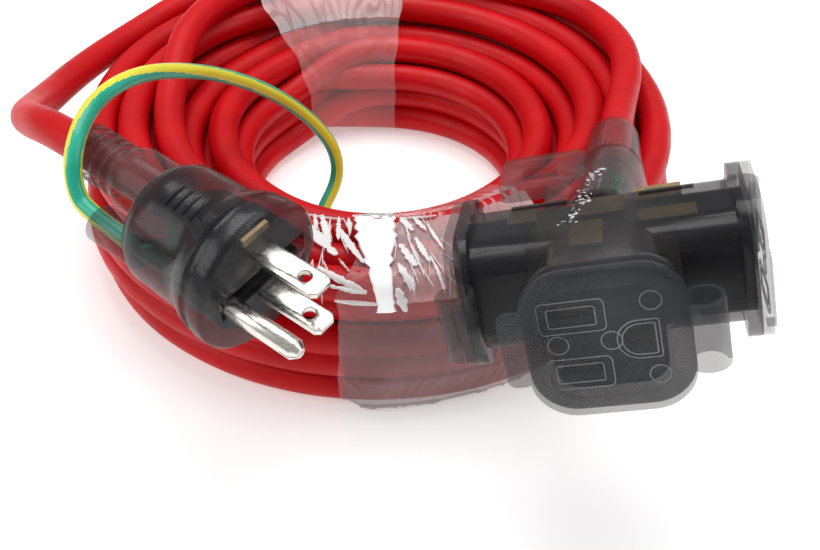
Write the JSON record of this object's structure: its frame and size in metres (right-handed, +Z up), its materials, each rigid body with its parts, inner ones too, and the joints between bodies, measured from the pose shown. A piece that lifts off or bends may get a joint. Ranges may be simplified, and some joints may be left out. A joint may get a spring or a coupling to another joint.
{
  "type": "extension cord with three-way tap",
  "caption": "Coiled outdoor extension cord with a folding-pin grounding plug, an earth lead and a three-way tap with hinged outlet caps.",
  "frame": {"origin": "centre of the underside of the box round the plug, the tap and the film, on the surface that the coil lies on", "axes": "+Z up; +Y from the plug and the tap across the coil to its far side; +X from the plug towards the tap"},
  "size_m": [0.2064, 0.2498, 0.0925],
  "materials": {
    "red_sheath": "satin soft PVC",
    "green_yellow_insulation": "satin, with a yellow stripe",
    "clear_film": "glossy wrinkled film",
    "smoke_pvc": "glossy smoked translucent PVC",
    "clear_smoke_pvc": "glossy clear smoked PVC",
    "black_core": "satin",
    "brass_strip": "bright",
    "tinned_crimp": "tinned",
    "black_insulation": "satin",
    "white_insulation": "satin",
    "green_insulation": "satin",
    "nickel_plate": "brushed nickel",
    "steel_pin": "plain"
  },
  "bodies": {
    "root": {"back_film": "clear_film", "blade_holder": "black_core", "contact_carrier": "black_core", "cord_coil": "red_sheath", "earth_bracket": "nickel_plate", "earth_busbar": "brass_strip", "earth_lead": "green_yellow_insulation", "front_film": "clear_film", "front_outlet_core": "black_core", "lead_boot": "clear_smoke_pvc", "lead_terminal": "tinned_crimp", "left_outlet_core": "black_core", "line_blade": "nickel_plate", "line_busbar": "brass_strip", "neutral_blade": "nickel_plate", "neutral_busbar": "brass_strip", "pin_pivot": "steel_pin", "plug_crimps": "tinned_crimp", "plug_earth_wire": "green_insulation", "plug_end_cable": "red_sheath", "plug_line_wire": "black_insulation", "plug_neutral_wire": "white_insulation", "plug_shell": "smoke_pvc", "plug_strain_relief": "clear_smoke_pvc", "right_outlet_core": "black_core", "tap_crimps": "tinned_crimp", "tap_earth_wire": "green_insulation", "tap_end_cable": "red_sheath", "tap_line_wire": "black_insulation", "tap_neutral_wire": "white_insulation", "tap_shell": "smoke_pvc", "tap_strain_relief": "clear_smoke_pvc", "terminal_sleeve": "green_insulation"},
    "front_cap": {"front_cap": "clear_smoke_pvc"},
    "left_cap": {"left_cap": "clear_smoke_pvc"},
    "right_cap": {"right_cap": "clear_smoke_pvc"},
    "earth_pin": {"earth_pin": "nickel_plate"}
  },
  "joints": [
    {"name": "front_cap_hinge", "type": "hinge", "parent": "root", "child": "front_cap", "pos_m": [0.05958, -0.11951, 0.07979], "axis": [-0.2288, 0.2525, 0.9402], "range_deg": [0, 150]},
    {"name": "left_cap_hinge", "type": "hinge", "parent": "root", "child": "left_cap", "pos_m": [0.01025, -0.10632, 0.06424], "axis": [-0.2288, 0.2525, 0.9402], "range_deg": [0, 62]},
    {"name": "right_cap_hinge", "type": "hinge", "parent": "root", "child": "right_cap", "pos_m": [0.07591, -0.06958, 0.07036], "axis": [-0.2288, 0.2525, 0.9402], "range_deg": [0, 150]},
    {"name": "earth_pin_fold", "type": "hinge", "parent": "root", "child": "earth_pin", "pos_m": [-0.04038, -0.09567, 0.06424], "axis": [0.0047, -0.1508, 0.9886], "range_deg": [0, 90]}
  ]
}
